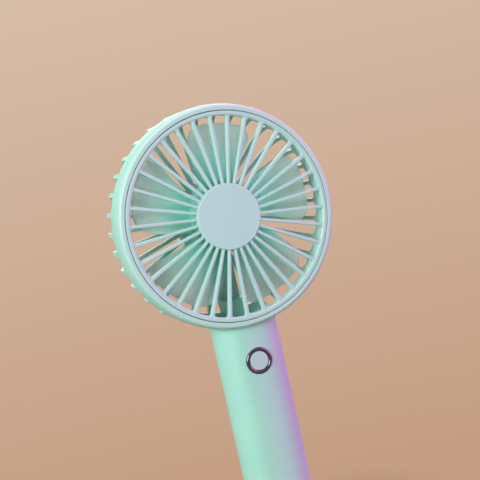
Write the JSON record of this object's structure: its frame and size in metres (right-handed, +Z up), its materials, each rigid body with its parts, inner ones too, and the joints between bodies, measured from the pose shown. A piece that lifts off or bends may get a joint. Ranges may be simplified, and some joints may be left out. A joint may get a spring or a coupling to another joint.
{
  "type": "hand-held fan",
  "caption": "Rechargeable hand-held fan: round head with spoked grille and slotted rear cage, bladed impeller on a small motor, oval handle with a chrome-ringed push button and charging socket.",
  "frame": {"origin": "centre of the flat bottom of the handle", "axes": "+Z up along the handle to the head, -Y out of the front grille the way the air leaves, +X to the right seen from the front"},
  "size_m": [0.1012, 0.0332, 0.2106],
  "materials": {
    "shell_mint": "satin moulded, fine texture",
    "grille_mint": "satin moulded",
    "disc_mint": "satin, bare",
    "frosted_mint": "frosted, lets some light through",
    "brass": "turned",
    "shaft_steel": "ground",
    "core_steel": "laminated",
    "copper": "enamelled winding wire and segments",
    "motor_steel": "drawn can, zinc plated",
    "magnet": "sintered",
    "white_plastic": "moulded",
    "carbon": "pressed carbon",
    "screw_steel": "zinc plated",
    "button_face": "satin",
    "chrome": "polished",
    "black_plastic": "moulded",
    "board_green": "solder mask",
    "socket_steel": "nickel plated",
    "clear_plastic": "clear",
    "cell_wrap": "shrink wrap over a steel can",
    "nickel": "strip",
    "black_insulation": "flexible",
    "red_insulation": "flexible"
  },
  "bodies": {
    "root": {"front_shell": "shell_mint", "rear_shell": "shell_mint", "front_grille": "grille_mint", "grille_centre_disc": "disc_mint", "motor_can": "motor_steel", "motor_bushes": "brass", "motor_magnets": "magnet", "motor_end_cap": "white_plastic", "motor_brushes": "carbon", "motor_screws": "screw_steel", "rear_hub_cap": "disc_mint", "wire_cover": "grille_mint", "button_bezel": "chrome", "tact_switch": "black_plastic", "circuit_board": "board_green", "board_parts": "black_plastic", "charge_board": "board_green", "board_screws": "screw_steel", "usb_socket": "socket_steel", "usb_tongue": "black_plastic", "light_pipe": "clear_plastic", "battery_cell": "cell_wrap", "battery_tabs": "nickel", "battery_lead_minus": "black_insulation", "battery_lead_plus": "red_insulation", "motor_lead_a": "red_insulation", "motor_lead_b": "black_insulation", "shell_screws": "screw_steel"},
    "impeller": {"impeller": "frosted_mint", "hub_bush": "brass", "motor_shaft": "shaft_steel", "thrust_washer": "shaft_steel", "rotor_core": "core_steel", "rotor_windings": "copper", "commutator": "copper"},
    "button": {"button_cap": "button_face", "switch_plunger": "black_plastic"}
  },
  "joints": [
    {"name": "impeller_spin", "type": "hinge", "parent": "root", "child": "impeller", "pos_m": [0, 0, 0.16], "axis": [0, 1, 0], "continuous": true},
    {"name": "button_press", "type": "slide", "parent": "root", "child": "button", "axis": [0, 1, 0], "range_m": [0, 0.0005], "stiffness_N_per_m": 4000}
  ]
}
